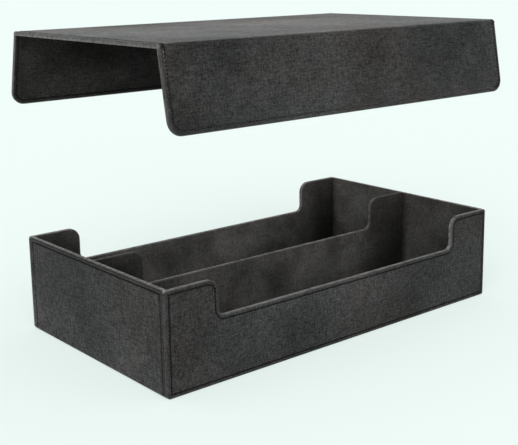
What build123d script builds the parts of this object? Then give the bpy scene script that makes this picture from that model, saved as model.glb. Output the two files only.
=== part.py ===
"""A two-lane trading card box: an open tray with low-cut long walls and a low-cut divider,
and a lid whose two hanging flaps fold on the leatherette itself.

Every panel is a stiff board between an outer skin, whose edges turn over the board, and an
inner lining. Millimetres, +X along the lanes, +Z up, origin under the middle of the tray.
The lid is modelled held above the tray, with its flaps springing a little outwards.
"""

import os
from math import cos, radians, sin

from build123d import *

# Cards, each in two sleeves, standing on their long edge across a lane
card_span = 93.0
card_rise = 68.0
card_side_room = 3.0
card_head_room = 9.6
lane_length = 348.0

# Sheet materials
board = 2.0
skin = 0.7
lining = 0.7
edge_round = 0.5

# Long walls and divider
notch_end_distance = 47.0
notch_depth = 29.0
notch_top_radius = 10.0
notch_root_radius = 6.0
wall_top_radius = 2.0
wall_foot_radius = 1.0

# End walls, whose skin folds under the base
turn_under = 14.0
bend_inside_radius = 0.8

# Lid, its height above the closed place and the outward lean of its flaps
lid_seat_gap = 0.3
lid_side_clearance = 0.5
lid_raise = 168.0
flap_drop = 63.0
flap_corner_radius = 11.0
fold_board_gap = 1.0
front_lean_angle = 10.0
back_lean_angle = 13.0

# Magnets that hold the closed flaps to the long walls
magnet_diameter = 10.0
magnet_thickness = 1.5
magnet_end_distance = 22.0
magnet_edge_distance = 14.0

# Sizes that follow
panel = skin + board + lining
divider = skin + board + skin
lane_width = card_span + card_side_room
inner_width = 2 * lane_width + divider
tray_length = lane_length + 2 * panel
tray_width = inner_width + 2 * panel
tray_height = panel + card_rise + card_head_room
base_board_top = skin + board
notch_length = tray_length - 2 * notch_end_distance
hinge_y = tray_width / 2 + lid_side_clearance
hinge_z = tray_height + lid_seat_gap + lid_raise
flap_reach = flap_drop - panel
magnet_x = tray_length / 2 - magnet_end_distance
magnet_reach = flap_reach - magnet_edge_distance
wall_magnet_z = tray_height + lid_seat_gap - magnet_reach


def notched_outline(length, foot, foot_radius, top_radius):
    """Upright flat shape of a panel whose top is cut low between two high ends."""
    low = tray_height - notch_depth
    right = [
        (length / 2, foot, foot_radius),
        (length / 2, tray_height, top_radius),
        (notch_length / 2, tray_height, notch_top_radius),
        (notch_length / 2, low, notch_root_radius),
    ]
    corners = right + [(-x, z, radius) for x, z, radius in reversed(right)]
    with BuildSketch() as outline:
        with BuildLine():
            FilletPolyline(
                [(x, z) for x, z, radius in corners],
                radius=[radius for x, z, radius in corners],
                close=True,
            )
        make_face()
    return outline.sketch_local


def inset(outline):
    """The outline drawn in on all sides by the skin that turns over its edges."""
    with BuildSketch() as inner:
        add(outline)
        offset(amount=-skin)
    return inner.sketch_local


def flap_outline(margin, fold_gap):
    """Flat shape of a flap hanging from its fold, drawn in by a margin on its free edges."""
    half = tray_length / 2 - margin
    bottom = -flap_reach + margin
    corner = max(flap_corner_radius - margin, 0)
    with BuildSketch() as outline:
        with BuildLine():
            FilletPolyline(
                (-half, -fold_gap), (-half, bottom), (half, bottom), (half, -fold_gap),
                radius=[0, corner, corner, 0],
                close=True,
            )
        make_face()
    return outline.sketch_local


def lid_outline(margin, fold_gap):
    """Flat shape of the lid's top between its folds, drawn in by a margin at its ends."""
    with BuildSketch() as outline:
        Rectangle(tray_length - 2 * margin, 2 * (hinge_y - fold_gap))
    return outline.sketch_local


def turned_skin(face, outline, core, thickness, fold_heights=()):
    """A panel's outer sheet, turned over the edges of the core that lies in it.

    At the fold heights, measured up the panel, the sheet runs on and has no turned edge.
    """
    with BuildPart() as sheet:
        with BuildSketch(face):
            add(outline)
        extrude(amount=thickness)
        good_side = sheet.faces().sort_by(Axis(face.origin, face.z_dir))[0]
        turned_edges = [
            edge
            for edge in good_side.edges()
            if all(abs(face.to_local_coords(edge.center()).Y - fold) > skin for fold in fold_heights)
        ]
        fillet(turned_edges, edge_round)
        with BuildSketch(face.offset(skin)):
            add(core)
        extrude(amount=thickness - skin, mode=Mode.SUBTRACT)
    return sheet.part


def flat_sheet(face, depth, outline, thickness):
    """A flat sheet of one material, at its depth below the panel's outer face."""
    with BuildPart() as sheet:
        with BuildSketch(face.offset(depth)):
            add(outline)
        extrude(amount=thickness)
    return sheet.part


def pocketed_board(face, outline, depth, magnet_height):
    """A panel's board with two blind pockets for its magnets, sunk from one face."""
    with BuildPart() as sheet:
        with BuildSketch(face.offset(skin)):
            add(outline)
        extrude(amount=board)
        with BuildSketch(face.offset(depth)):
            with Locations((-magnet_x, magnet_height), (magnet_x, magnet_height)):
                Circle(magnet_diameter / 2)
        extrude(amount=magnet_thickness, mode=Mode.SUBTRACT)
    return sheet.part


def magnet_pair(face, depth, magnet_height):
    """The two disc magnets that fill a board's pockets."""
    with BuildPart() as discs:
        with BuildSketch(face.offset(depth)):
            with Locations((-magnet_x, magnet_height), (magnet_x, magnet_height)):
                Circle(magnet_diameter / 2)
        extrude(amount=magnet_thickness)
    return discs.part


def save(name, part):
    """Labels a finished piece and writes it under its name."""
    part.label = name
    export_step(part, f"parts/{name}.step")


os.makedirs("parts", exist_ok=True)

# --- Base ---------------------------------------------------------------------------------
# The base board fills the footprint between the long walls; its ends are rounded where the
# end walls' skins fold under it, and the base skin closes the underside between those folds.
with BuildPart() as base_board:
    with BuildSketch(Plane.XY.offset(skin)):
        Rectangle(tray_length - 2 * skin, inner_width)
    extrude(amount=board)
    base_ends = base_board.faces().filter_by(Axis.X).edges().group_by(Axis.Z)[0]
    fillet(base_ends, bend_inside_radius)
save("base_board", base_board.part)

with BuildPart() as base_skin:
    with BuildSketch():
        Rectangle(tray_length - 2 * turn_under, inner_width)
    extrude(amount=skin)
save("base_skin", base_skin.part)

lane_y = (divider + lane_width) / 2
for name, side in (("front", -1), ("back", 1)):
    with BuildPart() as lane_lining:
        with BuildSketch(Plane.XY.offset(base_board_top)):
            with Locations((0, side * lane_y)):
                Rectangle(lane_length, lane_width)
        extrude(amount=lining)
    save(f"{name}_lane_lining", lane_lining.part)

# --- Long walls -----------------------------------------------------------------------------
# Each long wall is one wrapped panel that overlaps the ends of the end walls and the base.
wall_outline = notched_outline(tray_length, 0, wall_foot_radius, wall_top_radius)
wall_core = inset(wall_outline)
for name, side in (("front", -1), ("back", 1)):
    outer_face = Plane((0, side * tray_width / 2, 0), x_dir=(side, 0, 0), z_dir=(0, -side, 0))
    wall_skin = turned_skin(outer_face, wall_outline, wall_core, panel)
    save(f"{name}_wall_skin", wall_skin)
    save(f"{name}_wall_board", pocketed_board(outer_face, wall_core, skin, wall_magnet_z))
    save(f"{name}_wall_magnets", magnet_pair(outer_face, skin, wall_magnet_z))
    save(f"{name}_wall_lining", flat_sheet(outer_face, skin + board, wall_core, lining))

# --- End walls ------------------------------------------------------------------------------
# Between the long walls; the skin runs over the top edge and folds under the base.
for name, end in (("left", -1), ("right", 1)):
    section = Plane((end * tray_length / 2, 0, 0), x_dir=(-end, 0, 0), z_dir=(0, end, 0))
    with BuildPart() as end_skin:
        with BuildSketch(section):
            with BuildLine():
                FilletPolyline(
                    (0, 0), (turn_under, 0), (turn_under, skin), (skin, skin),
                    (skin, tray_height - skin), (panel, tray_height - skin),
                    (panel, tray_height), (0, tray_height),
                    radius=[skin + bend_inside_radius, 0, 0, bend_inside_radius,
                            0, 0, edge_round, edge_round],
                    close=True,
                )
            make_face()
        extrude(amount=inner_width / 2, both=True)
    save(f"{name}_wall_skin", end_skin.part)

    with BuildPart() as end_board:
        with BuildSketch(section):
            with Locations((skin, base_board_top)):
                Rectangle(board, tray_height - skin - base_board_top, align=Align.MIN)
        extrude(amount=inner_width / 2, both=True)
    save(f"{name}_wall_board", end_board.part)

    with BuildPart() as end_lining:
        with BuildSketch(section):
            with Locations((skin + board, base_board_top)):
                Rectangle(lining, tray_height - skin - base_board_top, align=Align.MIN)
        extrude(amount=inner_width / 2, both=True)
    save(f"{name}_wall_lining", end_lining.part)

# --- Divider --------------------------------------------------------------------------------
# Stands on the base board between the end walls' linings, notched in line with the walls.
divider_face = Plane((0, -divider / 2, 0), x_dir=(-1, 0, 0), z_dir=(0, 1, 0))
divider_outline = notched_outline(lane_length, base_board_top, 0, 0)
divider_core = inset(divider_outline)
save("divider_front_skin", turned_skin(divider_face, divider_outline, divider_core, divider))
save("divider_board", flat_sheet(divider_face, skin, divider_core, board))
save("divider_back_skin", flat_sheet(divider_face, skin + board, divider_core, skin))

# --- Lid top --------------------------------------------------------------------------------
# Rests over the tray's rim when closed; its skin turns over the board at the two ends.
lid_face = Plane((0, 0, hinge_z + panel), x_dir=(1, 0, 0), z_dir=(0, 0, -1))
lid_folds = (-hinge_y, hinge_y)
lid_skin = turned_skin(lid_face, lid_outline(0, 0), lid_outline(skin, 0), panel, lid_folds)
save("lid_skin", lid_skin)
save("lid_board", flat_sheet(lid_face, skin, lid_outline(skin, fold_board_gap), board))
save("lid_lining", flat_sheet(lid_face, skin + board, lid_outline(skin, 0), lining))

# --- Folds and flaps --------------------------------------------------------------------------
# Each flap hangs from a living hinge: skin and lining bend round the lid's lower edge, where
# the boards leave a gap. The bend fills what is left of a right angle by the flap's lean.
for name, side, lean in (("front", -1, front_lean_angle), ("back", 1, back_lean_angle)):
    fold_line = Axis((0, side * hinge_y, hinge_z), (side, 0, 0))
    fold_section = Plane((0, side * hinge_y, hinge_z), x_dir=(1, 0, 0), z_dir=(0, -1, 0))
    with BuildPart() as fold_skin:
        with BuildSketch(fold_section):
            bend = Rectangle(tray_length, panel, align=(Align.CENTER, Align.MIN))
            fillet(bend.vertices().group_by(Axis.Y)[-1], edge_round)
            Rectangle(tray_length - 2 * skin, panel - skin,
                      align=(Align.CENTER, Align.MIN), mode=Mode.SUBTRACT)
        revolve(axis=fold_line, revolution_arc=-(90 - lean))
    save(f"{name}_fold_skin", fold_skin.part)

    with BuildPart() as fold_lining:
        with BuildSketch(fold_section):
            Rectangle(tray_length - 2 * skin, lining, align=(Align.CENTER, Align.MIN))
        revolve(axis=fold_line, revolution_arc=-(90 - lean))
    save(f"{name}_fold_lining", fold_lining.part)

    out_y = side * cos(radians(lean))
    out_z = sin(radians(lean))
    flap_origin = (0, side * hinge_y + out_y * panel, hinge_z + out_z * panel)
    flap_face = Plane(flap_origin, x_dir=(side, 0, 0), z_dir=(0, -out_y, -out_z))
    pocket_depth = skin + board - magnet_thickness
    flap_skin = turned_skin(flap_face, flap_outline(0, 0), flap_outline(skin, 0), panel, (0,))
    flap_core = flap_outline(skin, fold_board_gap)
    save(f"{name}_flap_skin", flap_skin)
    save(f"{name}_flap_board", pocketed_board(flap_face, flap_core, pocket_depth, -magnet_reach))
    save(f"{name}_flap_magnets", magnet_pair(flap_face, pocket_depth, -magnet_reach))
    flap_lining = flat_sheet(flap_face, skin + board, flap_outline(skin, 0), lining)
    save(f"{name}_flap_lining", flap_lining)
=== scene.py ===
import bpy
import bmesh
from math import cos, pi, radians, sin
from mathutils import Matrix, Vector


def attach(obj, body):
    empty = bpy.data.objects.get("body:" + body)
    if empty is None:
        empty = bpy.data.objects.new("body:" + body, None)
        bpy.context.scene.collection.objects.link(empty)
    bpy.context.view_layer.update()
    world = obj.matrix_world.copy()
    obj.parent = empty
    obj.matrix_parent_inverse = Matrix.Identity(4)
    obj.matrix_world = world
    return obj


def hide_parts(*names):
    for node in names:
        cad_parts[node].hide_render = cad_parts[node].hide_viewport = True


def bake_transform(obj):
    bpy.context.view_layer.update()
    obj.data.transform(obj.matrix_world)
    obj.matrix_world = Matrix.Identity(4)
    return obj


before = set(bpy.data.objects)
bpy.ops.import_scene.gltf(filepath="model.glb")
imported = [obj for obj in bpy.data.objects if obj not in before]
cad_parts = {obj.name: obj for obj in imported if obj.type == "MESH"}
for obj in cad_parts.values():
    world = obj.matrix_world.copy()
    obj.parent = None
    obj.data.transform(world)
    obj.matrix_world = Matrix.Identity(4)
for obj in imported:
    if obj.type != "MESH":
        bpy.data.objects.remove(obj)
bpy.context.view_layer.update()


# ---------------------------------------------------------------- camera, floor and light
# A photographer's table: a wide pale floor that runs to the horizon, a broad soft lamp low on
# the near left, a weaker one overhead and a pale room all round. The camera is close and low.
camera_data = bpy.data.cameras.new("camera")
camera = bpy.data.objects.new("camera", camera_data)
bpy.context.collection.objects.link(camera)
camera_data.sensor_fit = "HORIZONTAL"
photo_width, focal_pixels, lowered_pixels = 518, 1015.98, 42.5
camera_data.sensor_width = 36.0
camera_data.lens = focal_pixels / photo_width * 36.0
camera_data.shift_y = -lowered_pixels / photo_width
camera_data.clip_start = 0.05
camera_data.clip_end = 60.0
aim = Vector((0.00684, 0.01663, 0.11531))
azimuth, elevation, roll, distance = radians(-39.66), radians(11.98), radians(-0.89), 0.90326
back = Vector((sin(azimuth) * cos(elevation), -cos(azimuth) * cos(elevation), sin(elevation)))
right = Vector((cos(azimuth), sin(azimuth), 0.0))
above = back.cross(right)
rolled_right = right * cos(roll) + above * sin(roll)
rolled_above = above * cos(roll) - right * sin(roll)
turn = Matrix((rolled_right, rolled_above, back)).transposed().to_4x4()
camera.matrix_world = Matrix.Translation(aim + back * distance) @ turn
bpy.context.scene.camera = camera
bpy.context.scene.view_settings.view_transform = "Standard"

bpy.ops.object.select_all(action="DESELECT")
bpy.ops.mesh.primitive_plane_add(size=50.0, location=(0, 0, 0))
floor = bpy.context.object
floor.name = "floor"
bpy.ops.object.mode_set(mode="EDIT")
bpy.ops.mesh.select_all(action="SELECT")
bpy.ops.transform.translate(value=(0, 0, -0.0003))
bpy.ops.object.mode_set(mode="OBJECT")
pale_white = (0.879, 0.983, 0.948, 1)
floor_paint = bpy.data.materials.new("pale_floor")
floor_paint.use_nodes = True
floor_shader = floor_paint.node_tree.nodes["Principled BSDF"]
floor_shader.inputs["Base Color"].default_value = (0.865, 0.968, 0.933, 1)
floor_shader.inputs["Roughness"].default_value = 1.0
floor_shader.inputs["Specular IOR Level"].default_value = 0.0
floor_nodes, floor_links = floor_paint.node_tree.nodes, floor_paint.node_tree.links
haze = floor_nodes.new("ShaderNodeEmission")
haze.inputs["Color"].default_value = pale_white
haze.inputs["Strength"].default_value = 1.0
seen_by_camera = floor_nodes.new("ShaderNodeLightPath")
haze_share = floor_nodes.new("ShaderNodeMath")
haze_share.operation = "MULTIPLY"
haze_share.inputs[1].default_value = 0.55
floor_mix = floor_nodes.new("ShaderNodeMixShader")
floor_links.new(seen_by_camera.outputs["Is Camera Ray"], haze_share.inputs[0])
floor_links.new(haze_share.outputs[0], floor_mix.inputs["Fac"])
floor_links.new(floor_shader.outputs["BSDF"], floor_mix.inputs[1])
floor_links.new(haze.outputs["Emission"], floor_mix.inputs[2])
floor_links.new(floor_mix.outputs["Shader"], floor_nodes["Material Output"].inputs["Surface"])
floor.data.materials.append(floor_paint)

room = bpy.data.worlds.new("pale_room")
bpy.context.scene.world = room
room.use_nodes = True
room_nodes, room_links = room.node_tree.nodes, room.node_tree.links
seen = room_nodes["Background"]
seen.inputs["Color"].default_value = pale_white
seen.inputs["Strength"].default_value = 1.0
fill = room_nodes.new("ShaderNodeBackground")
fill.inputs["Color"].default_value = (1.0, 1.0, 1.0, 1)
fill.inputs["Strength"].default_value = 0.42
choice = room_nodes.new("ShaderNodeMixShader")
path = room_nodes.new("ShaderNodeLightPath")
plain_sight = room_nodes.new("ShaderNodeMath")
plain_sight.operation = "MAXIMUM"
room_links.new(path.outputs["Is Camera Ray"], plain_sight.inputs[0])
room_links.new(path.outputs["Is Glossy Ray"], plain_sight.inputs[1])
room_links.new(plain_sight.outputs[0], choice.inputs["Fac"])
room_links.new(fill.outputs["Background"], choice.inputs[1])
room_links.new(seen.outputs["Background"], choice.inputs[2])
room_links.new(choice.outputs["Shader"], room_nodes["World Output"].inputs["Surface"])

for name, lamp_azimuth, lamp_elevation, strength, width in (
    ("window_lamp", -43, 21, 0.8, 60),
    ("ceiling_lamp", -20, 80, 0.32, 90),
):
    lamp_data = bpy.data.lights.new(name, "SUN")
    lamp_data.energy = strength * pi
    lamp_data.angle = radians(width)
    lamp = bpy.data.objects.new(name, lamp_data)
    bpy.context.collection.objects.link(lamp)
    lamp.rotation_euler = (radians(90 - lamp_elevation), 0, radians(lamp_azimuth))


# ---------------------------------------------------------------- long walls
# Front and back wall of the tray: greyboard wrapped in charcoal suede cloth that turns over
# every edge, with a wide finger notch and a dark stitched groove just inside the border.
# Each cover is a shallow pan, open towards the tray, that the board and lining sit in.
def choose(kind, test):
    """Selects the corners, edges or faces of the open mesh that pass a test."""
    bpy.ops.mesh.select_mode(type=kind)
    bpy.ops.mesh.select_all(action="DESELECT")
    mesh = bmesh.from_edit_mesh(bpy.context.object.data)
    things = {"VERT": mesh.verts, "EDGE": mesh.edges, "FACE": mesh.faces}[kind]
    for thing in things:
        if test(thing):
            thing.select_set(True)
    mesh.select_flush_mode()
    bmesh.update_edit_mesh(bpy.context.object.data)


def lay_blank(name, x_low, x_high, y_low, y_high):
    """Lays a flat rectangle of cloth on the bench, its good side up, and leaves it open."""
    bpy.ops.object.select_all(action="DESELECT")
    bpy.ops.mesh.primitive_plane_add(size=1.0, location=(0, 0, 0))
    blank = bpy.context.object
    blank.name = name
    bpy.ops.object.mode_set(mode="EDIT")
    bpy.ops.transform.resize(value=(x_high - x_low, y_high - y_low, 1))
    bpy.ops.transform.translate(value=((x_low + x_high) / 2, (y_low + y_high) / 2, 0))
    return blank


def slice_at(place, direction):
    """Cuts the whole open mesh along a plane and keeps both sides."""
    bpy.ops.mesh.select_all(action="SELECT")
    bpy.ops.mesh.bisect(plane_co=place, plane_no=direction)


def cut_notch(half_width, low_edge, half_length):
    """Cuts the finger notch out of the blank's upper edge."""
    slice_at((-half_width, 0, 0), (1, 0, 0))
    slice_at((half_width, 0, 0), (1, 0, 0))
    slice_at((0, low_edge, 0), (0, 1, 0))

    def in_notch(face):
        middle = face.calc_center_median()
        return abs(middle.x) < half_width and middle.y > low_edge
    choose("FACE", in_notch)
    bpy.ops.mesh.delete(type="FACE")
    choose("EDGE", lambda e: len(e.link_faces) == 2)
    bpy.ops.mesh.dissolve_edges(use_verts=False)
    choose("VERT", lambda v: (v.co.y < 1e-4 and abs(v.co.x) < half_width + 1e-4)
           or (abs(v.co.y - low_edge) < 1e-5 and abs(v.co.x) > half_length - 1e-4))
    bpy.ops.mesh.dissolve_verts()


def round_corner(x, y, radius, steps):
    """Rounds the blank's corners at plus and minus x and height y."""
    choose("VERT", lambda v: abs(abs(v.co.x) - x) < 1e-5 and abs(v.co.y - y) < 1e-5)
    bpy.ops.mesh.bevel(offset=radius, segments=steps, affect="VERTICES")


def round_upright_edge(x, y, radius, steps):
    """Rounds the thick panel's upright edges at plus and minus x and height y."""
    choose("EDGE", lambda e: abs(e.verts[0].co.z - e.verts[1].co.z) > 0.001
           and all(abs(abs(v.co.x) - x) < 1e-5 and abs(v.co.y - y) < 1e-5 for v in e.verts))
    bpy.ops.mesh.bevel(offset=radius, segments=steps, affect="EDGES")


def face_outwards():
    """Turns all faces of the open mesh outwards."""
    bpy.ops.mesh.select_all(action="SELECT")
    bpy.ops.mesh.normals_make_consistent(inside=False)


def thicken(thickness):
    """Gives the blank its thickness, downwards from its good side."""
    bpy.ops.mesh.select_mode(type="FACE")
    bpy.ops.mesh.select_all(action="SELECT")
    bpy.ops.mesh.extrude_region_move(TRANSFORM_OT_translate={"value": (0, 0, -thickness)})
    face_outwards()


def press_seam(inset, half_width, depth):
    """Presses the seam's flat groove into the good side, all round at one distance from the edge."""
    choose("FACE", lambda f: f.normal.z > 0.9)
    bpy.ops.mesh.inset(thickness=inset - half_width)
    bpy.ops.mesh.inset(thickness=seam_slope, depth=-depth)
    bpy.ops.mesh.inset(thickness=2 * (half_width - seam_slope))
    bpy.ops.mesh.inset(thickness=seam_slope, depth=depth)


def sink_pocket(turned, depth):
    """Sinks the pocket for board and lining, inside the cloth that turns over the edges."""
    choose("FACE", lambda f: f.normal.z < -0.9)
    bpy.ops.mesh.inset(thickness=turned, depth=0)
    bpy.ops.mesh.extrude_region_move(TRANSFORM_OT_translate={"value": (0, 0, depth)})


def soften_border(radius, steps):
    """Rounds the long edge where the cloth turns from the good side onto the rim."""
    def on_border(edge):
        if len(edge.link_faces) != 2 or max(v.co.z for v in edge.verts) < -1e-5:
            return False
        first, second = (abs(f.normal.z) for f in edge.link_faces)
        return min(first, second) < 0.05 and max(first, second) > 0.95
    choose("EDGE", on_border)
    bpy.ops.mesh.bevel(offset=radius, segments=steps, affect="EDGES")


def mark_wear_and_highlight(amount, seam_depth):
    """Writes two masks at the mesh's points: how much lighter the turned rim is, partly from wear and partly
    as a painted highlight, most at its inner edge and fading over the rounded border, and how near a point is
    to the dark floor of the seam. amount says for a face of the rim how much it is lightened."""
    mesh = bpy.context.object.data
    rim = mesh.attributes.new("rim", "FLOAT", "POINT")
    seam = mesh.attributes.new("seam", "FLOAT", "POINT")
    for vertex in mesh.vertices:
        if abs(vertex.co.z + seam_depth) < 1e-6:
            seam.data[vertex.index].value = 1.0
    for polygon in mesh.polygons:
        if abs(polygon.normal.z) > 0.92 or any(seam.data[v].value > 0.5 for v in polygon.vertices):
            continue
        for v in polygon.vertices:
            share = amount(polygon) * min(1.0, max(0.0, -mesh.vertices[v].co.z / panel)) ** 0.6
            rim.data[v].value = max(rim.data[v].value, share)


def turn_open_mesh(angle, axis):
    """Turns the whole open mesh about an axis through the frame's origin, by the right-hand rule."""
    bpy.ops.mesh.select_all(action="SELECT")
    bpy.ops.transform.rotate(value=-angle, orient_axis=axis, center_override=(0, 0, 0))


def put_in_place(piece, turns, move):
    """Turns the flat piece up and moves it to where it is fixed, then closes it."""
    bpy.ops.object.select_all(action="DESELECT")
    piece.select_set(True)
    bpy.context.view_layer.objects.active = piece
    bpy.ops.object.mode_set(mode="EDIT")
    for angle, axis in turns:
        turn_open_mesh(angle, axis)
    bpy.ops.mesh.select_all(action="SELECT")
    bpy.ops.transform.translate(value=move)
    bpy.ops.object.mode_set(mode="OBJECT")
    bpy.ops.object.shade_smooth_by_angle(angle=radians(35))


def lay_thread(name):
    """Starts a seam: its stitches are laid flat on the bench and joined into one piece."""
    return {"name": name, "stitches": []}


def one_stitch(x, y, heading, sunk):
    """One short stitch: a thread with pinched ends, lying in the groove."""
    radius, middle, tip = thread_thickness / 2, stitch_length * 0.62, stitch_length * 0.19
    pinch = (0.45, 0.45, 1)
    bpy.ops.object.select_all(action="DESELECT")
    bpy.ops.mesh.primitive_cylinder_add(vertices=6, radius=radius, depth=middle, location=(0, 0, 0))
    stitch = bpy.context.object
    bpy.ops.object.mode_set(mode="EDIT")
    for up in (1, -1):
        choose("FACE", lambda f: up * f.normal.z > 0.9)
        bpy.ops.mesh.extrude_region_move(TRANSFORM_OT_translate={"value": (0, 0, up * tip)})
        bpy.ops.transform.resize(value=pinch)
    turn_open_mesh(pi / 2, "Y")
    turn_open_mesh(heading, "Z")
    bpy.ops.mesh.select_all(action="SELECT")
    bpy.ops.transform.translate(value=(x, y, -sunk))
    bpy.ops.object.mode_set(mode="OBJECT")
    return stitch


def stitch_line(seam, start, end, sunk=0.0004):
    """A straight run of stitches from start to end, evenly spaced."""
    start, end = Vector(start), Vector(end)
    run = end - start
    count = max(1, round(run.length / stitch_pitch))
    step = run / count
    first = start + step / 2
    stitch = one_stitch(first.x, first.y, run.angle_signed(Vector((1, 0))), sunk)
    repeat = stitch.modifiers.new("repeat", "ARRAY")
    repeat.count = count
    repeat.use_relative_offset = False
    repeat.use_constant_offset = True
    repeat.constant_offset_displace = (step.x, step.y, 0)
    bpy.ops.object.modifier_apply(modifier="repeat")
    seam["stitches"].append(stitch)


def stitch_bend(seam, centre, radius, first, sunk=0.0004):
    """Stitches round a quarter turn of the groove, counterclockwise from the first angle."""
    count = max(1, round(pi / 2 * radius / stitch_pitch))
    for i in range(count):
        angle = first + pi / 2 * (i + 0.5) / count
        x, y = centre[0] + radius * cos(angle), centre[1] + radius * sin(angle)
        seam["stitches"].append(one_stitch(x, y, angle + pi / 2, sunk))


def join_thread(seam):
    """Joins a seam's stitches into one piece of black thread."""
    bpy.ops.object.select_all(action="DESELECT")
    for stitch in seam["stitches"]:
        stitch.select_set(True)
    piece = seam["stitches"][0]
    bpy.context.view_layer.objects.active = piece
    bpy.ops.object.join()
    piece.name = seam["name"]
    piece.data.materials.append(thread)
    return piece


def new_group(name, inputs, outputs):
    """An empty group of shader nodes with named inputs and outputs."""
    group = bpy.data.node_groups.new(name, "ShaderNodeTree")
    for label, kind, value in inputs:
        socket = group.interface.new_socket(name=label, in_out="INPUT", socket_type=kind)
        socket.default_value = value
    for label, kind in outputs:
        group.interface.new_socket(name=label, in_out="OUTPUT", socket_type=kind)
    return group, group.nodes.new("NodeGroupInput"), group.nodes.new("NodeGroupOutput")


def size_to_scale(group, size_socket):
    """Turns a texture's size in metres into the scale that its socket wants."""
    inverse = group.nodes.new("ShaderNodeMath")
    inverse.operation = "DIVIDE"
    inverse.inputs[0].default_value = 1.0
    group.links.new(size_socket, inverse.inputs[1])
    return inverse.outputs[0]


def average(group, first, second, share):
    """Mixes two values; share is a number or a socket."""
    mix = group.nodes.new("ShaderNodeMix")
    mix.data_type = "FLOAT"
    if isinstance(share, float):
        mix.inputs["Factor"].default_value = share
    else:
        group.links.new(share, mix.inputs["Factor"])
    group.links.new(first, mix.inputs[2])
    group.links.new(second, mix.inputs[3])
    return mix.outputs[0]


def make_grain():
    """Fine pebbled grain of brushed microfibre: its height and its light and dark specks."""
    group, given, result = new_group(
        "pebble_grain",
        [("Size", "NodeSocketFloat", 0.0014)],
        [("Height", "NodeSocketFloat"), ("Speck", "NodeSocketFloat")],
    )
    nodes, links = group.nodes, group.links
    place = nodes.new("ShaderNodeTexCoord")
    scale = size_to_scale(group, given.outputs["Size"])
    cells = nodes.new("ShaderNodeTexVoronoi")
    cells.feature = "SMOOTH_F1"
    cells.inputs["Smoothness"].default_value = 0.5
    fibres = nodes.new("ShaderNodeTexNoise")
    fibres.inputs["Detail"].default_value = 2.0
    fibres.inputs["Roughness"].default_value = 0.6
    for texture in (cells, fibres):
        links.new(place.outputs["Object"], texture.inputs["Vector"])
        links.new(scale, texture.inputs["Scale"])
    pebble = nodes.new("ShaderNodeMapRange")
    pebble.inputs["From Max"].default_value = 0.8
    pebble.inputs["To Min"].default_value = 1.0
    pebble.inputs["To Max"].default_value = 0.0
    links.new(cells.outputs["Distance"], pebble.inputs["Value"])
    links.new(average(group, pebble.outputs["Result"], fibres.outputs["Fac"], 0.5), result.inputs["Height"])
    contrast = nodes.new("ShaderNodeMapRange")
    contrast.inputs["From Min"].default_value = 0.3
    contrast.inputs["From Max"].default_value = 0.7
    links.new(average(group, pebble.outputs["Result"], fibres.outputs["Fac"], 0.7), contrast.inputs["Value"])
    links.new(contrast.outputs["Result"], result.inputs["Speck"])
    return group


def make_clouds():
    """Soft lighter and darker patches where the nap lies another way, and their faint warmth."""
    group, given, result = new_group(
        "nap_clouds",
        [("Patch", "NodeSocketFloat", 0.10)],
        [("Shade", "NodeSocketFloat"), ("Warmth", "NodeSocketFloat")],
    )
    nodes, links = group.nodes, group.links
    place = nodes.new("ShaderNodeTexCoord")
    scale = size_to_scale(group, given.outputs["Patch"])
    for label, shift, low, high in (
        ("Shade", (19.6, 17.4, 5.8), 0.35, 0.65),
        ("Warmth", (7.3, 7.3, 7.3), 0.45, 0.75),
    ):
        moved = nodes.new("ShaderNodeMapping")
        moved.inputs["Location"].default_value = shift
        links.new(place.outputs["Object"], moved.inputs["Vector"])
        clouds = nodes.new("ShaderNodeTexNoise")
        clouds.inputs["Detail"].default_value = 3.0
        clouds.inputs["Roughness"].default_value = 0.55
        links.new(moved.outputs["Vector"], clouds.inputs["Vector"])
        links.new(scale, clouds.inputs["Scale"])
        spread = nodes.new("ShaderNodeMapRange")
        spread.inputs["From Min"].default_value = low
        spread.inputs["From Max"].default_value = high
        links.new(clouds.outputs["Fac"], spread.inputs["Value"])
        links.new(spread.outputs["Result"], result.inputs[label])
    return group


def make_brushing():
    """Fine straight marks of the brush along each of the three directions of the box."""
    group, given, result = new_group(
        "brush_marks",
        [("Width", "NodeSocketFloat", 0.0011), ("Length", "NodeSocketFloat", 0.007)],
        [("Marks", "NodeSocketFloat")],
    )
    nodes, links = group.nodes, group.links
    place = nodes.new("ShaderNodeTexCoord")
    across = size_to_scale(group, given.outputs["Width"])
    along = size_to_scale(group, given.outputs["Length"])
    layers = []
    for direction in range(3):
        scales = nodes.new("ShaderNodeCombineXYZ")
        for axis in range(3):
            links.new(along if axis == direction else across, scales.inputs[axis])
        stretched = nodes.new("ShaderNodeVectorMath")
        stretched.operation = "MULTIPLY"
        links.new(place.outputs["Object"], stretched.inputs[0])
        links.new(scales.outputs["Vector"], stretched.inputs[1])
        marks = nodes.new("ShaderNodeTexNoise")
        marks.inputs["Scale"].default_value = 1.0
        marks.inputs["Detail"].default_value = 1.0
        links.new(stretched.outputs["Vector"], marks.inputs["Vector"])
        layers.append(marks.outputs["Fac"])
    mixed = average(group, average(group, layers[0], layers[1], 0.5), layers[2], 0.34)
    contrast = nodes.new("ShaderNodeMapRange")
    contrast.inputs["From Min"].default_value = 0.38
    contrast.inputs["From Max"].default_value = 0.62
    links.new(mixed, contrast.inputs["Value"])
    links.new(contrast.outputs["Result"], result.inputs["Marks"])
    return group


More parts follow.
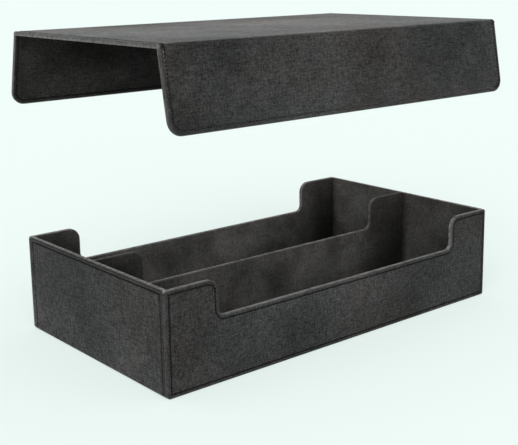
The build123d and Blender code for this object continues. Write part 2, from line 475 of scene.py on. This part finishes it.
def make_rubbing():
    """Where the turned border is lighter, partly from wear and partly as a painted highlight, unevenly along
    it, and where the seam lies.
    """
    group, given, result = new_group(
        "worn_and_lit_border",
        [("Amount", "NodeSocketFloat", 1.0)],
        [("Mask", "NodeSocketFloat"), ("Seam", "NodeSocketFloat")],
    )
    nodes, links = group.nodes, group.links
    rim = nodes.new("ShaderNodeAttribute")
    rim.attribute_name = "rim"
    seam = nodes.new("ShaderNodeAttribute")
    seam.attribute_name = "seam"
    links.new(seam.outputs["Fac"], result.inputs["Seam"])
    place = nodes.new("ShaderNodeTexCoord")
    uneven = nodes.new("ShaderNodeTexNoise")
    uneven.inputs["Scale"].default_value = 260.0
    uneven.inputs["Detail"].default_value = 4.0
    links.new(place.outputs["Object"], uneven.inputs["Vector"])
    spread = nodes.new("ShaderNodeMapRange")
    spread.inputs["From Min"].default_value = 0.3
    spread.inputs["From Max"].default_value = 0.6
    spread.inputs["To Min"].default_value = 0.25
    links.new(uneven.outputs["Fac"], spread.inputs["Value"])
    uneven_wear_and_highlight = nodes.new("ShaderNodeMath")
    uneven_wear_and_highlight.operation = "MULTIPLY"
    links.new(rim.outputs["Fac"], uneven_wear_and_highlight.inputs[0])
    links.new(spread.outputs["Result"], uneven_wear_and_highlight.inputs[1])
    scaled = nodes.new("ShaderNodeMath")
    scaled.operation = "MULTIPLY"
    links.new(uneven_wear_and_highlight.outputs[0], scaled.inputs[0])
    links.new(given.outputs["Amount"], scaled.inputs[1])
    links.new(scaled.outputs[0], result.inputs["Mask"])
    return group


pebble_grain = make_grain()
nap_clouds = make_clouds()
brush_marks = make_brushing()
worn_and_lit_border = make_rubbing()


def mottled_colour(nodes, links, cool, warm, patch, cloud, speck, brush, grain_size):
    """A mottled colour: clouds, warm patches, brush marks and specks. cloud, speck and brush say
    how much each one lightens and darkens it, patch how large the clouds are."""
    used = {}
    for label, group in (("clouds", nap_clouds), ("grain", pebble_grain), ("marks", brush_marks)):
        used[label] = nodes.new("ShaderNodeGroup")
        used[label].node_tree = group
    used["grain"].inputs["Size"].default_value = grain_size
    used["clouds"].inputs["Patch"].default_value = patch
    hue = nodes.new("ShaderNodeMix")
    hue.data_type = "RGBA"
    hue.inputs[6].default_value = (*cool, 1)
    hue.inputs[7].default_value = (*warm, 1)
    links.new(used["clouds"].outputs["Warmth"], hue.inputs["Factor"])
    colour = hue.outputs[2]
    for label, output, amount in (
        ("clouds", "Shade", cloud),
        ("marks", "Marks", brush),
        ("grain", "Speck", speck),
    ):
        strength = nodes.new("ShaderNodeMapRange")
        strength.inputs["To Min"].default_value = 1 - amount
        strength.inputs["To Max"].default_value = 1 + amount
        links.new(used[label].outputs[output], strength.inputs["Value"])
        scaled = nodes.new("ShaderNodeVectorMath")
        scaled.operation = "SCALE"
        links.new(colour, scaled.inputs[0])
        links.new(strength.outputs["Result"], scaled.inputs["Scale"])
        colour = scaled.outputs["Vector"]
    return used, colour


def mottled_material(name, roughness, **tones):
    """A plain mottled material. tones are the colours and amounts of mottled_colour."""
    material = bpy.data.materials.new(name)
    material.use_nodes = True
    nodes, links = material.node_tree.nodes, material.node_tree.links
    shader = nodes["Principled BSDF"]
    shader.inputs["Roughness"].default_value = roughness
    colour = mottled_colour(nodes, links, **tones)[1]
    links.new(colour, shader.inputs["Base Color"])
    return material


def cloth(name, cool, warm, patch, cloud, speck, brush, grain_size, grain_depth, painted_sheen_gain, worn_and_lit):
    """A cloth with a nap, clouded and specked, finely pebbled, with a painted sheen that makes its colour
    lighter by a given factor where it is seen edge on. The rim's colour, lighter partly from wear and partly
    as a painted highlight, and the dark seam are laid over it where the piece has their masks."""
    material = bpy.data.materials.new(name)
    material.use_nodes = True
    nodes, links = material.node_tree.nodes, material.node_tree.links
    shader = nodes["Principled BSDF"]
    shader.inputs["Roughness"].default_value = 0.75
    shader.inputs["Specular IOR Level"].default_value = 0.05
    shader.inputs["Sheen Weight"].default_value = 0.05
    shader.inputs["Sheen Roughness"].default_value = 0.3
    used, colour = mottled_colour(nodes, links, cool, warm, patch, cloud, speck, brush, grain_size)
    # painted sheen: the colour is lightened where the surface is seen edge on
    turned_away = nodes.new("ShaderNodeLayerWeight")
    turned_away.inputs["Blend"].default_value = 0.5
    lightened = nodes.new("ShaderNodeMapRange")
    lightened.inputs["From Min"].default_value = 0.45
    lightened.inputs["From Max"].default_value = 0.85
    lightened.inputs["To Min"].default_value = 1.0
    lightened.inputs["To Max"].default_value = painted_sheen_gain
    links.new(turned_away.outputs["Facing"], lightened.inputs["Value"])
    painted_sheen = nodes.new("ShaderNodeVectorMath")
    painted_sheen.operation = "SCALE"
    links.new(colour, painted_sheen.inputs[0])
    links.new(lightened.outputs["Result"], painted_sheen.inputs["Scale"])
    colour = painted_sheen.outputs["Vector"]
    border = nodes.new("ShaderNodeGroup")
    border.node_tree = worn_and_lit_border
    for mask, tone in (("Mask", worn_and_lit), ("Seam", (0.002, 0.002, 0.002))):
        laid_over = nodes.new("ShaderNodeMix")
        laid_over.data_type = "RGBA"
        laid_over.inputs[7].default_value = (*tone, 1)
        links.new(border.outputs[mask], laid_over.inputs["Factor"])
        links.new(colour, laid_over.inputs[6])
        colour = laid_over.outputs[2]
    links.new(colour, shader.inputs["Base Color"])
    bump = nodes.new("ShaderNodeBump")
    bump.inputs["Strength"].default_value = 0.5
    bump.inputs["Distance"].default_value = grain_depth
    links.new(used["grain"].outputs["Height"], bump.inputs["Height"])
    links.new(bump.outputs["Normal"], shader.inputs["Normal"])
    return material


# the last colour of each cloth is its rim's, lighter partly from wear and partly as a painted highlight
suede = cloth("charcoal_suede", cool=(0.0342, 0.0350, 0.0352), warm=(0.042, 0.0373, 0.0352), patch=0.10,
              cloud=0.34, speck=0.38, brush=0.50, grain_size=0.0012, grain_depth=0.0003, painted_sheen_gain=3.25,
              worn_and_lit=(0.28, 0.275, 0.265))
thread = mottled_material("black_thread", roughness=0.6, cool=(0.012, 0.012, 0.012),
                          warm=(0.017, 0.015, 0.014), patch=0.1, cloud=0.2, speck=0.5, brush=0.2,
                          grain_size=0.0006)
thread.node_tree.nodes["Principled BSDF"].inputs["Specular IOR Level"].default_value = 0.1

skin, panel = 0.0007, 0.0034    # the cloth alone, and the whole wrapped board
stitch_pitch, stitch_length, thread_thickness = 0.0027, 0.0020, 0.0007
seam_inset, seam_half, seam_slope, seam_depth = 0.0031, 0.0008, 0.0004, 0.0006
wall_half, wall_height, wall_y = 0.1774, 0.081, 0.1011
wall_corner, wall_border = 0.002, 0.0009
worn_and_lit_half = 0.17    # beyond this distance from the middle the wall's rim gets little wear and painted highlight
notch_half, notch_edge = 0.1304, 0.052
upper_bend, lower_bend = 0.010, 0.006
for wall, turns, place in (
    ("front", [(pi / 2, "X")], (0, -wall_y, 0)),
    ("back", [(pi / 2, "X"), (pi, "Z")], (0, wall_y, 0)),
):
    cover = lay_blank(f"{wall}_wall_cover", -wall_half, wall_half, 0, wall_height)
    cut_notch(notch_half, notch_edge, wall_half)
    round_corner(notch_half, wall_height, upper_bend, 8)
    round_corner(notch_half, notch_edge, lower_bend, 8)
    thicken(panel)
    press_seam(seam_inset, seam_half, seam_depth)
    sink_pocket(skin, panel - skin)
    round_upright_edge(wall_half, wall_height, wall_corner, 4)
    round_upright_edge(wall_half, 0.0, wall_corner, 4)
    soften_border(wall_border, 4)
    bpy.ops.object.mode_set(mode="OBJECT")
    # painted highlight: the rim that faces up is lightest, the upright rims at the wall's ends are hardly
    # lightened
    mark_wear_and_highlight(lambda f: 1.0 if f.normal.y > 0.5 else 0.75 if abs(f.center.x) < worn_and_lit_half else 0.08,
              seam_depth)
    cover.data.materials.append(suede)
    put_in_place(cover, turns, place)
    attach(cover, "tray")
    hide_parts(f"{wall}_wall_skin")

    seam = lay_thread(f"{wall}_wall_stitching")
    top, notch_end = wall_height - seam_inset, notch_half - lower_bend
    stitch_line(seam, (-wall_half + seam_inset, seam_inset), (wall_half - seam_inset, seam_inset))
    stitch_line(seam, (-notch_end, notch_edge - seam_inset), (notch_end, notch_edge - seam_inset))
    for side in (-1, 1):
        outer, inner = side * (wall_half - seam_inset), side * (notch_half + seam_inset)
        upper_middle = (side * (notch_half + upper_bend), wall_height - upper_bend)
        lower_middle = (side * notch_end, notch_edge + lower_bend)
        stitch_line(seam, (outer, seam_inset), (outer, top))
        stitch_line(seam, (upper_middle[0], top), (outer, top))
        stitch_line(seam, (inner, lower_middle[1]), (inner, upper_middle[1]))
        stitch_bend(seam, upper_middle, upper_bend - seam_inset, pi / 2 if side > 0 else 0)
        stitch_bend(seam, lower_middle, lower_bend + seam_inset, -pi / 2 if side > 0 else pi)
    stitching = join_thread(seam)
    put_in_place(stitching, turns, place)
    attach(stitching, "tray")


# ---------------------------------------------------------------- end walls
# Short walls between the long ones: the same wrapped board, plain along the top. The cloth
# bends round the foot and runs on under the base, so the seam has no run along the bottom.
def trim(place, outward):
    """Cuts the open mesh off along a plane, drops what lies beyond it and closes the cut."""
    bpy.ops.mesh.select_all(action="SELECT")
    bpy.ops.mesh.bisect(plane_co=place, plane_no=outward, use_fill=True, clear_outer=True)


end_half, end_inset, end_corner = 0.0977, 0.0036, 0.0008
foot_bend, turned_under = 0.0015, 0.014
spare = 0.02    # what a blank is longer than its piece, so that the seam runs out over the cut
for wall, side in (("left", -1), ("right", 1)):
    cover = lay_blank(f"{wall}_wall_cover", -end_half, end_half, -spare, wall_height)
    thicken(panel)
    press_seam(end_inset, seam_half, seam_depth)
    sink_pocket(skin, panel - skin)
    round_upright_edge(end_half, wall_height, end_corner, 3)
    soften_border(wall_border, 4)
    trim((0, foot_bend, 0), (0, -1, 0))
    bpy.ops.object.mode_set(mode="OBJECT")
    # painted highlight: the end wall's rim that faces up is lightest
    mark_wear_and_highlight(lambda f: 1.0 if f.normal.y > 0.5 else 0.08, seam_depth)
    cover.data.materials.append(suede)
    turns, place = [(pi / 2, "X"), (side * pi / 2, "Z")], (side * wall_half, 0, 0)
    put_in_place(cover, turns, place)
    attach(cover, "tray")

    foot = lay_blank(f"{wall}_wall_foot", -end_half, end_half, 0, skin)
    turn_open_mesh(side * pi / 2, "Z")
    bpy.ops.mesh.select_all(action="SELECT")
    bpy.ops.transform.translate(value=(side * wall_half, 0, foot_bend))
    middle = (side * (wall_half - foot_bend), 0, foot_bend)
    bpy.ops.mesh.spin(steps=6, angle=-side * pi / 2, center=middle, axis=(0, 1, 0))
    run_on = (side * (foot_bend - turned_under), 0, 0)
    bpy.ops.mesh.extrude_region_move(TRANSFORM_OT_translate={"value": run_on})
    face_outwards()
    bpy.ops.object.mode_set(mode="OBJECT")
    foot.data.materials.append(suede)
    bpy.ops.object.shade_smooth_by_angle(angle=radians(35))
    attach(foot, "tray")
    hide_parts(f"{wall}_wall_skin")

    seam = lay_thread(f"{wall}_wall_stitching")
    top = wall_height - end_inset
    stitch_line(seam, (-end_half + end_inset, top), (end_half - end_inset, top))
    for end in (-1, 1):
        x = end * (end_half - end_inset)
        stitch_line(seam, (x, foot_bend), (x, top))
    stitching = join_thread(seam)
    put_in_place(stitching, turns, place)
    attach(stitching, "tray")


# ---------------------------------------------------------------- divider
# One upright board between the two lanes, cut low in line with the walls. Its lining turns
# over the top edge from the front and has no visible seam.
def paint_lane_light_and_shade(material, end, wall_pitch, reach, deepest_painted_shade, front_lane_painted_shade, back_lane_painted_light):
    """Paints light and shade into a lining: painted shade towards the upright corners of the lanes,
    painted shade over the whole front lane and painted light over the whole back lane."""
    dark_end, light_middle = end - 0.012, end - 0.085
    dark_foot, light_top = 0.02, 0.18
    divider_half = 0.0016
    nodes, links = material.node_tree.nodes, material.node_tree.links
    shader = nodes["Principled BSDF"]
    place = nodes.new("ShaderNodeTexCoord")
    split = nodes.new("ShaderNodeSeparateXYZ")
    links.new(place.outputs["Object"], split.inputs["Vector"])
    # painted shade: how near a point is to an upright corner of a lane, low down
    depth = None
    for axis, operation, near, far in (
        ("X", "ABSOLUTE", dark_end, light_middle),
        ("Y", "PINGPONG", 0.0, reach),
        ("Z", "ABSOLUTE", dark_foot, light_top),
    ):
        distance = nodes.new("ShaderNodeMath")
        distance.operation = operation
        distance.inputs[1].default_value = wall_pitch / 2
        links.new(split.outputs[axis], distance.inputs[0])
        nearness = nodes.new("ShaderNodeMapRange")
        nearness.interpolation_type = "SMOOTHSTEP"
        nearness.inputs["From Min"].default_value = far
        nearness.inputs["From Max"].default_value = near
        links.new(distance.outputs[0], nearness.inputs["Value"])
        if depth is None:
            depth = nearness.outputs["Result"]
            continue
        both = nodes.new("ShaderNodeMath")
        both.operation = "MULTIPLY"
        links.new(depth, both.inputs[0])
        links.new(nearness.outputs["Result"], both.inputs[1])
        depth = both.outputs[0]
    # painted light and shade: the front lane's lining darker, the back lane's lighter
    lane = nodes.new("ShaderNodeMapRange")
    lane.inputs["From Min"].default_value = -divider_half
    lane.inputs["From Max"].default_value = divider_half
    lane.inputs["To Min"].default_value = front_lane_painted_shade
    lane.inputs["To Max"].default_value = back_lane_painted_light
    links.new(split.outputs["Y"], lane.inputs["Value"])
    kept = nodes.new("ShaderNodeMapRange")
    kept.inputs["To Max"].default_value = 1.0 - deepest_painted_shade
    links.new(lane.outputs["Result"], kept.inputs["To Min"])
    links.new(depth, kept.inputs["Value"])
    darkened = nodes.new("ShaderNodeVectorMath")
    darkened.operation = "SCALE"
    links.new(shader.inputs["Base Color"].links[0].from_socket, darkened.inputs[0])
    links.new(kept.outputs["Result"], darkened.inputs["Scale"])
    links.new(darkened.outputs["Vector"], shader.inputs["Base Color"])


lane_half, lane_floor, divider_y = 0.1740, 0.0027, -0.0017
lining = cloth("tray_lining", cool=(0.078, 0.077, 0.0725), warm=(0.087, 0.0795, 0.0725), patch=0.050,
               cloud=0.42, speck=0.26, brush=0.26, grain_size=0.0016, grain_depth=0.0001, painted_sheen_gain=1.0,
               worn_and_lit=(0.32, 0.315, 0.30))
# painted light and shade in the tray's lining, darkest in the lanes' upright corners
paint_lane_light_and_shade(lining, end=lane_half, wall_pitch=0.1, reach=0.012, deepest_painted_shade=0.88, front_lane_painted_shade=0.80, back_lane_painted_light=1.15)
cover = lay_blank("divider_cover", -lane_half, lane_half, lane_floor, wall_height)
cut_notch(notch_half, notch_edge, lane_half)
choose("VERT", lambda v: abs(v.co.y - lane_floor) < 1e-5 and abs(v.co.x) < notch_half + 1e-4)
bpy.ops.mesh.dissolve_verts()
round_corner(notch_half, wall_height, upper_bend, 8)
round_corner(notch_half, notch_edge, lower_bend, 8)
thicken(panel)
sink_pocket(skin, panel - skin)
soften_border(wall_border, 4)
bpy.ops.object.mode_set(mode="OBJECT")
# painted highlight: the divider's rim that faces up is lightest
mark_wear_and_highlight(lambda f: 1.0 if f.normal.y > 0.5 else 0.7, seam_depth)
cover.data.materials.append(lining)
put_in_place(cover, [(pi / 2, "X")], (0, divider_y, 0))
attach(cover, "tray")
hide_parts("divider_front_skin")


# ---------------------------------------------------------------- lid top
# The lid's flat top: suede over greyboard, stitched along the two short ends only, because the
# cloth runs on over both long sides into the folds.
lid_half, hinge_y, hinge_z = 0.1774, 0.1016, 0.2493
lid_border, lid_inset, lid_seam_half, lid_seam_depth = 0.0014, 0.0036, 0.0015, 0.0010
cover = lay_blank("lid_cover", -lid_half, lid_half, -hinge_y - spare, hinge_y + spare)
thicken(panel)
press_seam(lid_inset, lid_seam_half, lid_seam_depth)
sink_pocket(skin, panel - skin)
soften_border(lid_border, 4)
for side in (-1, 1):
    trim((0, side * hinge_y, 0), (0, side, 0))
bpy.ops.object.mode_set(mode="OBJECT")
mark_wear_and_highlight(lambda f: 0.5, lid_seam_depth)
cover.data.materials.append(suede)
put_in_place(cover, [], (0, 0, hinge_z + panel))
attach(cover, "lid")
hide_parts("lid_skin")

seam = lay_thread("lid_stitching")
for end in (-1, 1):
    x = end * (lid_half - lid_inset)
    stitch_line(seam, (x, -hinge_y), (x, hinge_y), sunk=0.0007)
stitching = join_thread(seam)
put_in_place(stitching, [], (0, 0, hinge_z + panel))
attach(stitching, "lid")


# ---------------------------------------------------------------- hanging flaps
# Two long flaps that hang from the lid on folded cloth and lean outwards. Each is wrapped
# board with rounded lower corners, stitched round its three free edges.
def stitch_flap(name, sunk):
    """Stitches round the three free edges of a flap, laid flat with its hinge line along X."""
    seam = lay_thread(name)
    bend_x, bend_y = lid_half - flap_corner, -flap_reach + flap_corner
    low = -flap_reach + flap_inset
    stitch_line(seam, (-bend_x, low), (bend_x, low), sunk)
    for end in (-1, 1):
        x = end * (lid_half - flap_inset)
        stitch_line(seam, (x, bend_y), (x, 0), sunk)
        stitch_bend(seam, (end * bend_x, bend_y), flap_corner - flap_inset, -pi / 2 if end > 0 else pi, sunk)
    return join_thread(seam)


flaps = (("front", 10, -1, []), ("back", 13, 1, [(pi, "Z")]))
flap_reach, flap_corner = 0.0596, 0.011
hinge_gap = 0.0001    # keeps cover and lining clear of the lid when the flap swings
flap_inset, flap_seam_half, flap_seam_depth = 0.0033, 0.0010, 0.0008
for flap, lean, side, last_turn in flaps:
    turns = [(pi / 2 - radians(lean), "X")] + last_turn
    cover = lay_blank(f"{flap}_flap_cover", -lid_half, lid_half, -flap_reach, spare)
    round_corner(lid_half, -flap_reach, flap_corner, 8)
    thicken(panel)
    press_seam(flap_inset, flap_seam_half, flap_seam_depth)
    sink_pocket(skin, panel - skin)
    soften_border(lid_border, 4)
    trim((0, 0, 0), (0, 1, 0))
    choose("VERT", lambda v: abs(v.co.y) < 1e-6 and v.co.z < -panel + 1e-4)
    bpy.ops.transform.translate(value=(0, -hinge_gap, 0))
    bpy.ops.object.mode_set(mode="OBJECT")
    mark_wear_and_highlight(lambda f: 0.3, flap_seam_depth)
    cover.data.materials.append(suede)
    put_in_place(cover, [], (0, 0, panel))
    put_in_place(cover, turns, (0, side * hinge_y, hinge_z))
    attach(cover, f"{flap}_flap")
    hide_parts(f"{flap}_flap_skin")

    stitching = stitch_flap(f"{flap}_flap_stitching", sunk=0.0004)
    put_in_place(stitching, [], (0, 0, panel))
    put_in_place(stitching, turns, (0, side * hinge_y, hinge_z))
    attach(stitching, f"{flap}_flap")


# ---------------------------------------------------------------- folds
# The living hinges: the skin of each flap runs on from the lid round an open bend, with
# nothing but cloth across the gap between the boards. The seam's groove runs round it too.
def under_skin(face):
    """Tells the faces of a fold's profile that lie behind its turned edges and its skin."""
    middle = face.calc_center_median()
    return abs(middle.x) < lid_half - skin and middle.y < panel - skin


groove_x, groove_floor = lid_half - flap_inset, flap_seam_half - seam_slope
in_groove, near_groove_floor, near_end = groove_floor + 0.0001, flap_seam_depth + 0.0001, 0.0006
for flap, lean, side, last_turn in flaps:
    arc = pi / 2 - radians(lean)
    end = (0, side * (hinge_y + panel * sin(arc)), hinge_z + panel * cos(arc))

    cover = lay_blank(f"{flap}_fold_cover", -lid_half, lid_half, skin, panel)
    slice_at((-lid_half + skin, 0, 0), (1, 0, 0))
    slice_at((lid_half - skin, 0, 0), (1, 0, 0))
    slice_at((0, panel - skin, 0), (0, 1, 0))
    choose("FACE", under_skin)
    bpy.ops.mesh.delete(type="FACE")
    round_corner(lid_half, panel, lid_border, 4)
    for end_x in (-1, 1):
        for aside in (-flap_seam_half, -groove_floor, groove_floor, flap_seam_half):
            slice_at((end_x * (groove_x + aside), 0, 0), (1, 0, 0))
    choose("VERT", lambda v: abs(abs(v.co.x) - groove_x) < in_groove and v.co.y > panel - 1e-5)
    bpy.ops.transform.translate(value=(0, -flap_seam_depth, 0))
    turn_open_mesh(pi / 2, "X")
    bpy.ops.mesh.select_all(action="SELECT")
    bpy.ops.mesh.spin(steps=12, angle=side * arc, center=(0, 0, 0), axis=(1, 0, 0))
    face_outwards()
    bpy.ops.object.mode_set(mode="OBJECT")
    # the fold's turned ends are lightened, partly from wear and partly as a painted highlight
    rim = cover.data.attributes.new("rim", "FLOAT", "POINT")
    seam = cover.data.attributes.new("seam", "FLOAT", "POINT")
    for vertex in cover.data.vertices:
        if abs(vertex.co.x) > lid_half - near_end:
            rim.data[vertex.index].value = 0.4
        if abs(abs(vertex.co.x) - groove_x) < in_groove and vertex.co.yz.length > panel - near_groove_floor:
            seam.data[vertex.index].value = 1.0
    cover.data.materials.append(suede)
    put_in_place(cover, [], (0, side * hinge_y, hinge_z))
    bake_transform(cover)
    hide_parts(f"{flap}_fold_skin")


# ---------------------------------------------------------------- flap linings
# The brushed cloth inside the flaps and their folds, darker than the tray's lining as painted shade under the
# lid.
# The seam goes through the whole flap, so its groove and stitches show on this side too.
# painted shade: a lining darker than the tray's, for the shade under the lid
lid_lining = cloth("lid_lining", cool=(0.0195, 0.0192, 0.018), warm=(0.023, 0.020, 0.0175), patch=0.055,
                   cloud=0.50, speck=0.35, brush=0.35, grain_size=0.0016, grain_depth=0.0001, painted_sheen_gain=1.0,
                   worn_and_lit=(0.10, 0.098, 0.093))
lining_border, lining_seam_half, lining_seam_depth = 0.0003, 0.0008, 0.0004
lining_half, lining_reach = lid_half - skin, flap_reach - skin
for flap, lean, side, last_turn in flaps:
    turns = [(pi, "Y"), (pi / 2 - radians(lean), "X")] + last_turn
    inner = lay_blank(f"{flap}_flap_inner", -lining_half, lining_half, -lining_reach, spare)
    round_corner(lining_half, -lining_reach, flap_corner - skin, 8)
    thicken(skin)
    press_seam(flap_inset - skin, lining_seam_half, lining_seam_depth)
    soften_border(lining_border, 2)
    trim((0, 0, 0), (0, 1, 0))
    choose("VERT", lambda v: abs(v.co.y) < 1e-6)
    bpy.ops.transform.translate(value=(0, -hinge_gap, 0))
    bpy.ops.object.mode_set(mode="OBJECT")
    mark_wear_and_highlight(lambda f: 0.6, lining_seam_depth)
    inner.data.materials.append(lid_lining)
    put_in_place(inner, turns, (0, side * hinge_y, hinge_z))
    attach(inner, f"{flap}_flap")
    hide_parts(f"{flap}_flap_lining")

    stitching = stitch_flap(f"{flap}_flap_inner_stitching", sunk=0.0002)
    put_in_place(stitching, turns, (0, side * hinge_y, hinge_z))
    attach(stitching, f"{flap}_flap")

    arc = pi / 2 - radians(lean)
    end = (0, side * (hinge_y + skin * sin(arc)), hinge_z + skin * cos(arc))
    fold = lay_blank(f"{flap}_fold_inner", -lining_half, lining_half, 0, skin)
    turn_open_mesh(pi / 2, "X")
    bpy.ops.mesh.select_all(action="SELECT")
    bpy.ops.mesh.spin(steps=6, angle=side * arc, center=(0, 0, 0), axis=(1, 0, 0))
    bpy.ops.mesh.select_all(action="SELECT")
    bpy.ops.mesh.remove_doubles(threshold=0.000001)
    face_outwards()
    bpy.ops.object.mode_set(mode="OBJECT")
    fold.data.materials.append(lid_lining)
    put_in_place(fold, [], (0, side * hinge_y, hinge_z))
    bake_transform(fold)
    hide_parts(f"{flap}_fold_lining")


# ---------------------------------------------------------------- linings, boards and magnets
# What is left in sight of the drawn parts: brushed dark linings inside, greyboard cores and
# steel closing magnets under the cloth.
greyboard = mottled_material("greyboard", roughness=0.9, cool=(0.26, 0.25, 0.23), warm=(0.30, 0.27, 0.23),
                             patch=0.1, cloud=0.12, speck=0.3, brush=0.1, grain_size=0.0012)
steel = mottled_material("magnet_steel", roughness=0.3, cool=(0.55, 0.55, 0.56), warm=(0.58, 0.56, 0.54),
                         patch=0.1, cloud=0.05, speck=0.05, brush=0.1, grain_size=0.0005)
steel.node_tree.nodes["Principled BSDF"].inputs["Metallic"].default_value = 1.0
for name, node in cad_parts.items():
    node.data.materials.clear()
    if name.endswith("lining") and ("flap" in name or "fold" in name or "lid" in name):
        node.data.materials.append(lid_lining)
    elif name.endswith("board"):
        node.data.materials.append(greyboard)
    elif name.endswith("lining") or name.startswith("divider"):
        node.data.materials.append(lining)
    elif name.endswith("magnets"):
        node.data.materials.append(steel)
    else:
        node.data.materials.append(suede)
